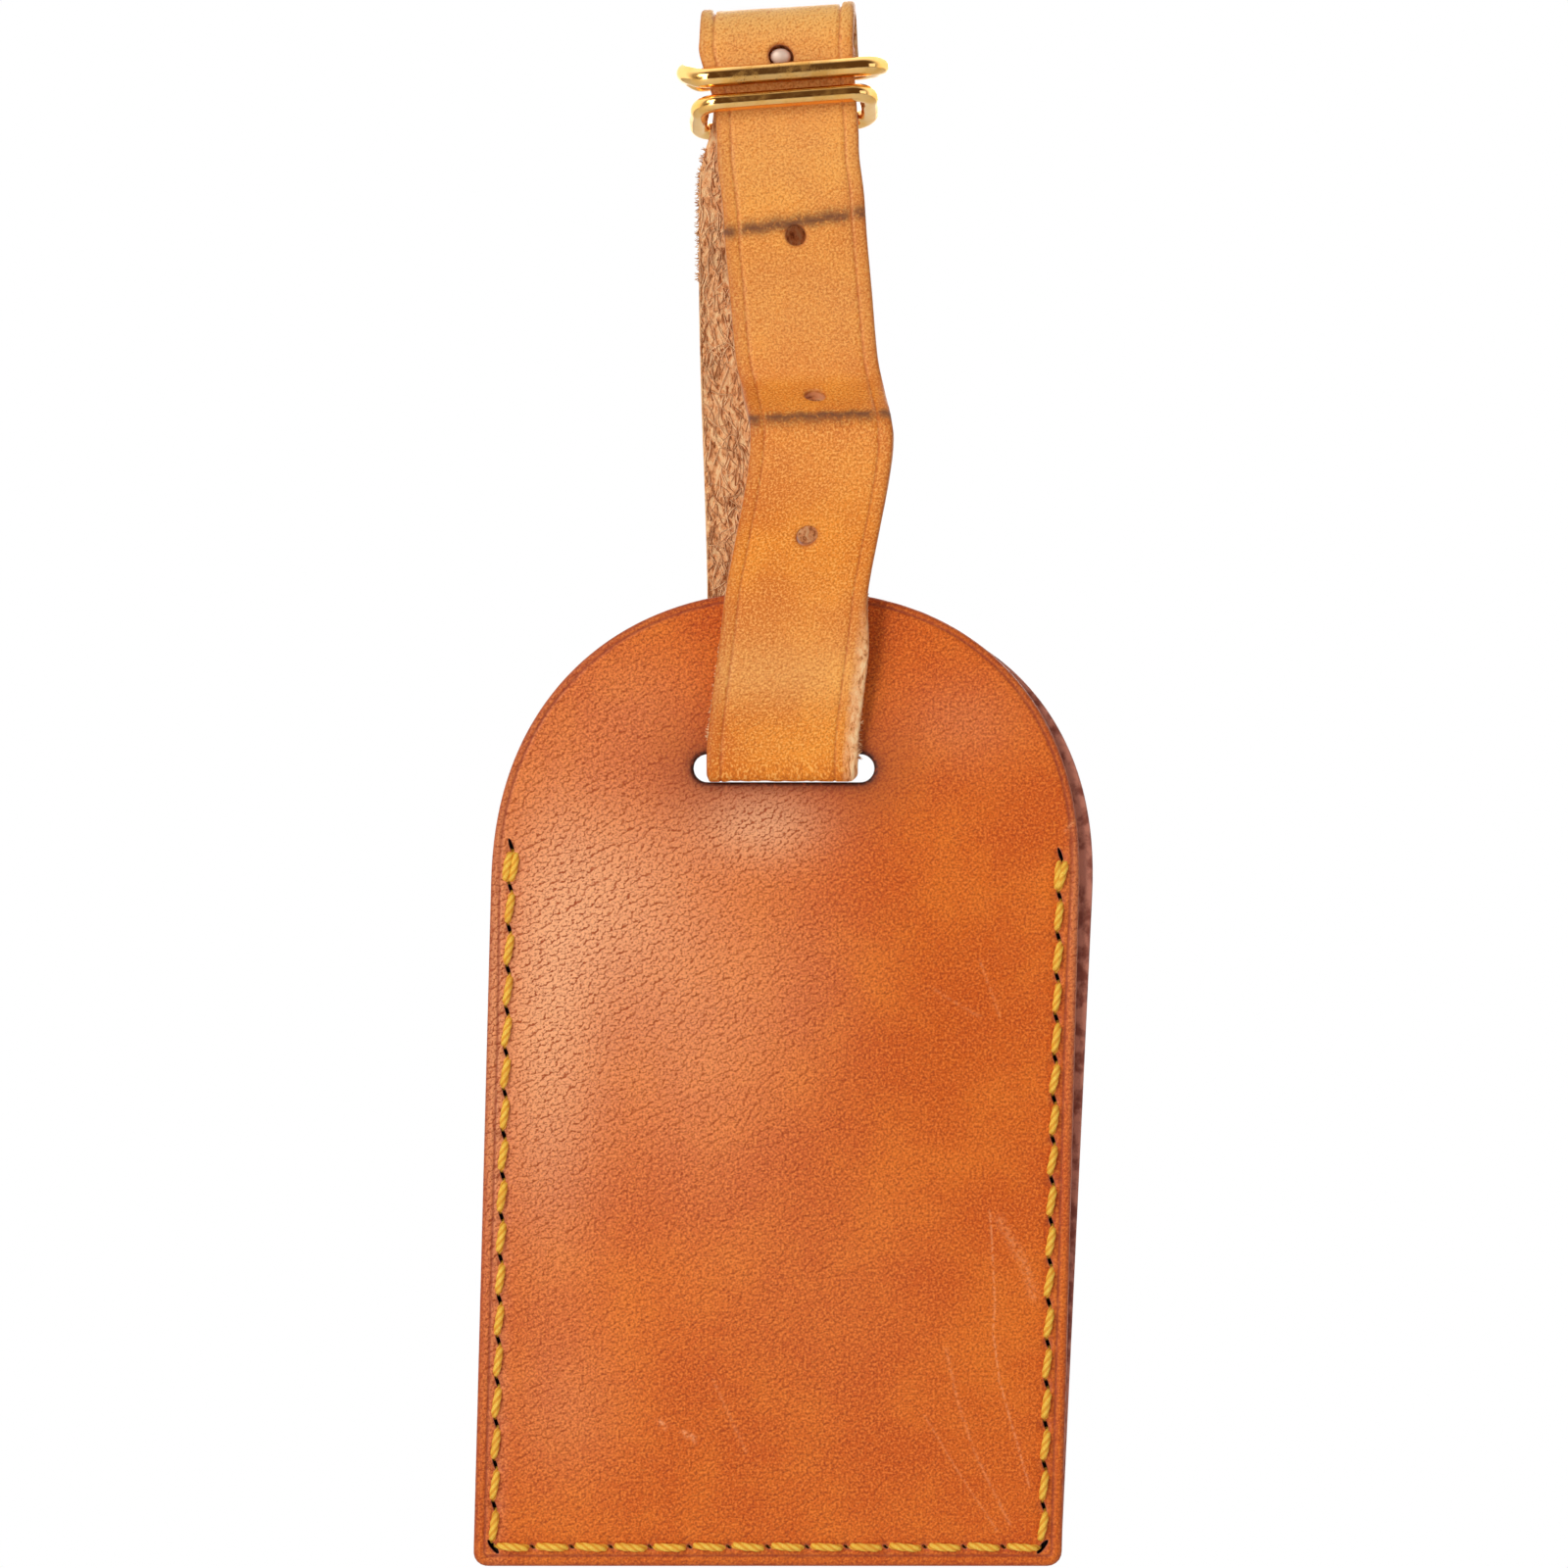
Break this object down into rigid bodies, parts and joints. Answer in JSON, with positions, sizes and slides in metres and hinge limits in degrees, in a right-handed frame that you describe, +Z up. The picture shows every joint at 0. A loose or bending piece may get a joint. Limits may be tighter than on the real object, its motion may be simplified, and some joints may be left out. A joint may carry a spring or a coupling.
{
  "type": "luggage tag",
  "caption": "Leather luggage tag: arch-topped sewn card pocket hung on a narrow strap, closed by a brass wire buckle and keeper.",
  "frame": {"origin": "inside the top of the strap loop, midway between its two runs, where a handle goes through", "axes": "+Z up along the hanging tag, -Y out of the tag's front, +X to the right seen from the front"},
  "size_m": [0.0697, 0.0184, 0.1763],
  "materials": {
    "body_leather": "smooth grain, slight sheen",
    "back_leather": "smooth grain, darker edge",
    "strap_leather": "smooth grain outside, fibrous inside",
    "polished_brass": "polished",
    "waxed_thread": "waxed twisted thread",
    "card_paper": "plain",
    "clear_film": "clear film"
  },
  "bodies": {
    "strap_loop": {"strap": "strap_leather", "fold_rivet_post": "polished_brass", "fold_rivet_cap": "polished_brass"},
    "tag_body": {"front_panel": "body_leather", "back_panel": "back_leather", "window_film": "clear_film", "seam_thread_front": "waxed_thread", "seam_thread_back": "waxed_thread"},
    "card": {"name_card": "card_paper"},
    "frame_ring": {"buckle_frame": "polished_brass"},
    "prong": {"buckle_prong": "polished_brass"},
    "keeper": {"keeper_loop": "polished_brass"}
  },
  "joints": [
    {"name": "tag_swing", "type": "hinge", "parent": "strap_loop", "child": "tag_body", "pos_m": [0, 0, -0.0613], "axis": [1, 0, 0], "range_deg": [-6, 3.5]},
    {"name": "card_slide", "type": "slide", "parent": "tag_body", "child": "card", "axis": [0, 0, 1], "range_m": [0, 0.009]},
    {"name": "frame_tilt", "type": "hinge", "parent": "strap_loop", "child": "frame_ring", "pos_m": [0, 0.0022, 0.0171], "axis": [0.9972, 0, 0.075], "range_deg": [-8, 2.5]},
    {"name": "prong_tilt", "type": "hinge", "parent": "strap_loop", "child": "prong", "pos_m": [0, 0.0022, 0.0171], "axis": [0.9972, 0, 0.075], "range_deg": [-2, 3]},
    {"name": "keeper_slide", "type": "slide", "parent": "strap_loop", "child": "keeper", "axis": [0, 0, 1], "range_m": [-0.002, 0.0002]}
  ]
}
